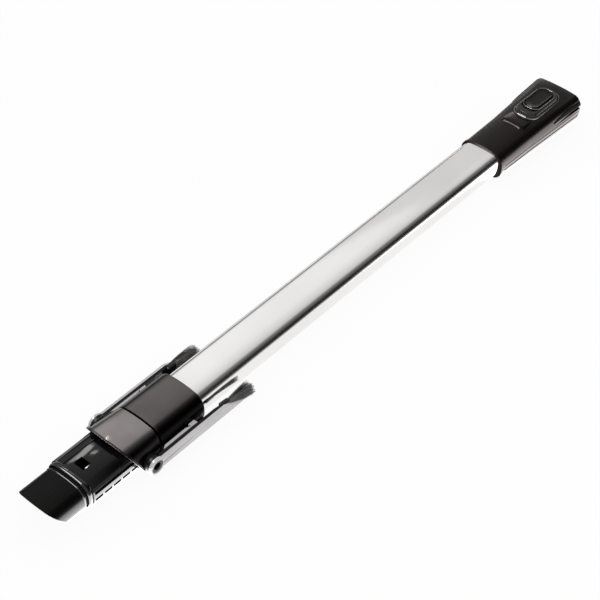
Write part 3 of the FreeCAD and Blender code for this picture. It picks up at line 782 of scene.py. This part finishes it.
floor_white, tree = stage_material("floor_white")
paper = tree.nodes["Principled BSDF"]
paper.inputs["Base Color"].default_value = (0.9, 0.9, 0.9, 1)
paper.inputs["Roughness"].default_value = 0.9
paper.inputs["Specular IOR Level"].default_value = 0.0
glow = tree.nodes.new("ShaderNodeEmission")
glow.inputs["Color"].default_value = (1, 1, 1, 1)
rays = tree.nodes.new("ShaderNodeLightPath")
seen = tree.nodes.new("ShaderNodeMath")
seen.operation = "MAXIMUM"
tree.links.new(rays.outputs["Is Camera Ray"], seen.inputs[0])
tree.links.new(rays.outputs["Is Glossy Ray"], seen.inputs[1])
seen_all = tree.nodes.new("ShaderNodeMath")
seen_all.operation = "MAXIMUM"
tree.links.new(seen.outputs["Value"], seen_all.inputs[0])
tree.links.new(rays.outputs["Is Transmission Ray"], seen_all.inputs[1])
share = tree.nodes.new("ShaderNodeMath")
share.operation = "MULTIPLY"
share.inputs[1].default_value = paper_glow
tree.links.new(seen_all.outputs["Value"], share.inputs[0])
mix = tree.nodes.new("ShaderNodeMixShader")
tree.links.new(share.outputs["Value"], mix.inputs["Fac"])
tree.links.new(paper.outputs["BSDF"], mix.inputs[1])
tree.links.new(glow.outputs["Emission"], mix.inputs[2])
tree.links.new(mix.outputs["Shader"], tree.nodes["Material Output"].inputs["Surface"])
bm = bmesh.new()
bmesh.ops.create_grid(bm, x_segments=1, y_segments=1, size=floor_half)
floor = finished(bm, "floor", floor_white)

# Cards and lamp boxes that only show in glossy surfaces: white cards on the floor by the black ends, black ones
# by the collar and along the left, a key box above the left, two strips over the tip, and beyond the far end
# a white card for the housing's shoulder and a grey one for the tube's upper third.
on_floor = 0.0002
over_tip = 0.085
key_height = 1.1
shoulder_height = 0.14
far_height = 0.33
white = (1, 1, 1)
rosy_white = (1, 0.97, 0.97)
amber_white = (1, 0.94, 0.9)
cream_white = (1, 0.99, 0.98)
warm_white = (1, 0.99, 0.97)
long_strip = [
    (-0.2222, 0.0688),
    (-0.2235, 0.055),
    (-0.2286, 0.0516),
    (-0.2392, 0.0493),
    (-0.2479, 0.0624),
    (-0.2346, 0.0629),
]
short_strip = [(-0.2295, 0.0392), (-0.2305, 0.0325), (-0.2334, 0.0338), (-0.2348, 0.0413), (-0.2318, 0.0436)]


def rectangle(x0, x1, y0, y1):
    """Corners of a level rectangle."""
    return [(x0, y0), (x1, y0), (x1, y1), (x0, y1)]


def reflected_card(name, outline, height, tone, strength):
    """Level card with the given outline (x, y) at a height, which only shows in reflections."""
    material, tree = stage_material(name)
    tree.nodes.remove(tree.nodes["Principled BSDF"])
    glow = tree.nodes.new("ShaderNodeEmission")
    glow.inputs["Color"].default_value = (*tone, 1)
    glow.inputs["Strength"].default_value = strength
    tree.links.new(glow.outputs["Emission"], tree.nodes["Material Output"].inputs["Surface"])
    bm = bmesh.new()
    bm.faces.new([bm.verts.new((x, y, height)) for x, y in outline])
    card = finished(bm, name, material)
    card.visible_camera = False
    card.visible_diffuse = False
    card.visible_transmission = False
    card.visible_shadow = False


reflected_card("white_card_tip", rectangle(-0.36, -0.235, -0.09, 0), on_floor, white, strength=11.0)
reflected_card("white_card_housing", rectangle(0.205, 0.5, -0.35, 0), on_floor, rosy_white, strength=4.8)
reflected_card("black_card_collar", rectangle(-0.235, -0.165, -0.031, 0), on_floor, white, strength=0.004)
reflected_card("black_card_left", rectangle(-0.5, 0.42, 0, 0.07), on_floor, white, strength=0.01)
reflected_card("key_box", rectangle(-0.8, -0.25, 0.15, 0.95), key_height, white, strength=20.0)
reflected_card("white_card_shoulder", rectangle(0.53, 0.9, 0.2, 0.44), shoulder_height, amber_white, strength=3.6)
reflected_card("grey_card_far", rectangle(0.37, 0.8, 0.1, 0.6), far_height, cream_white, strength=0.7)
reflected_card("long_strip", long_strip, over_tip, warm_white, strength=11.0)
reflected_card("short_strip", short_strip, over_tip, warm_white, strength=11.0)

# Softboxes and flags: seen in glossy surfaces, the room's far end is bright to the left and dark to the right,
# and its near end is evenly bright.
# Matt surfaces get the same even soft light from all round.
soft_strength = 0.95
near_tone = 0.8
near_until = 0.05
far_from = 0.4
far_tones = [
    (0.01, 0.9),
    (0.06, 0.25),
    (0.12, 0.005),
    (0.25, 0.005),
    (0.46, 0.2),
    (0.57, 0.66),
    (0.64, 0.93),
    (0.8, 0.97),
    (0.9, 0.3),
    (0.97, 0.03),
]
world = bpy.data.worlds.new("studio")
bpy.context.scene.world = world
world.use_nodes = True
tree = world.node_tree
soft_light = tree.nodes["Background"]
soft_light.inputs["Color"].default_value = (1, 1, 1, 1)
soft_light.inputs["Strength"].default_value = soft_strength
coords = tree.nodes.new("ShaderNodeTexCoord")
direction = tree.nodes.new("ShaderNodeSeparateXYZ")
tree.links.new(coords.outputs["Generated"], direction.inputs["Vector"])
swing = tree.nodes.new("ShaderNodeMath")
swing.operation = "ARCTAN2"
tree.links.new(direction.outputs["Y"], swing.inputs[0])
tree.links.new(direction.outputs["Z"], swing.inputs[1])
across = tree.nodes.new("ShaderNodeMapRange")
across.inputs["From Min"].default_value = -math.pi / 2
across.inputs["From Max"].default_value = math.pi / 2
tree.links.new(swing.outputs["Value"], across.inputs["Value"])
boxes = tree.nodes.new("ShaderNodeValToRGB")
ramp = boxes.color_ramp
for end, (position, tone) in ((0, far_tones[0]), (1, far_tones[-1])):
    ramp.elements[end].position = position
    ramp.elements[end].color = (*grey(tone), 1)
for position, tone in far_tones[1:-1]:
    ramp.elements.new(position).color = (*grey(tone), 1)
tree.links.new(across.outputs["Result"], boxes.inputs["Fac"])
far_end = tree.nodes.new("ShaderNodeBackground")
tree.links.new(boxes.outputs["Color"], far_end.inputs["Color"])
near_end = tree.nodes.new("ShaderNodeBackground")
near_end.inputs["Color"].default_value = (*grey(near_tone), 1)
along = tree.nodes.new("ShaderNodeMapRange")
along.inputs["From Min"].default_value = near_until
along.inputs["From Max"].default_value = far_from
tree.links.new(direction.outputs["X"], along.inputs["Value"])
room = tree.nodes.new("ShaderNodeMixShader")
tree.links.new(along.outputs["Result"], room.inputs["Fac"])
tree.links.new(near_end.outputs["Background"], room.inputs[1])
tree.links.new(far_end.outputs["Background"], room.inputs[2])
rays = tree.nodes.new("ShaderNodeLightPath")
mix = tree.nodes.new("ShaderNodeMixShader")
tree.links.new(rays.outputs["Is Glossy Ray"], mix.inputs["Fac"])
tree.links.new(soft_light.outputs["Background"], mix.inputs[1])
tree.links.new(room.outputs["Shader"], mix.inputs[2])
tree.links.new(mix.outputs["Shader"], tree.nodes["World Output"].inputs["Surface"])

# Camera: it stands where the photograph was taken from, with a long lens.
# Its place and axes were fitted to the wand's straight edges, in a square image.
image_pixels = 600
focal_pixels = 1681.0
sensor_width = 36
camera_place = (-0.7747, -0.5977, 0.9587)
camera_right = Vector((0.6522, -0.7575, 0.0301))
camera_up = Vector((0.5188, 0.4749, 0.7108))
camera_forward = Vector((0.5527, 0.448, -0.7027))
camera_data = bpy.data.cameras.new("camera")
camera_data.sensor_width = sensor_width
camera_data.lens = focal_pixels / image_pixels * sensor_width
camera = bpy.data.objects.new("camera", camera_data)
bpy.context.scene.collection.objects.link(camera)
camera_axes = Matrix((camera_right, camera_up, -camera_forward)).transposed()
camera_turn = camera_axes.to_quaternion().to_matrix().to_4x4()
camera.matrix_world = Matrix.Translation(camera_place) @ camera_turn
bpy.context.scene.camera = camera
bpy.context.scene.view_settings.view_transform = "Standard"
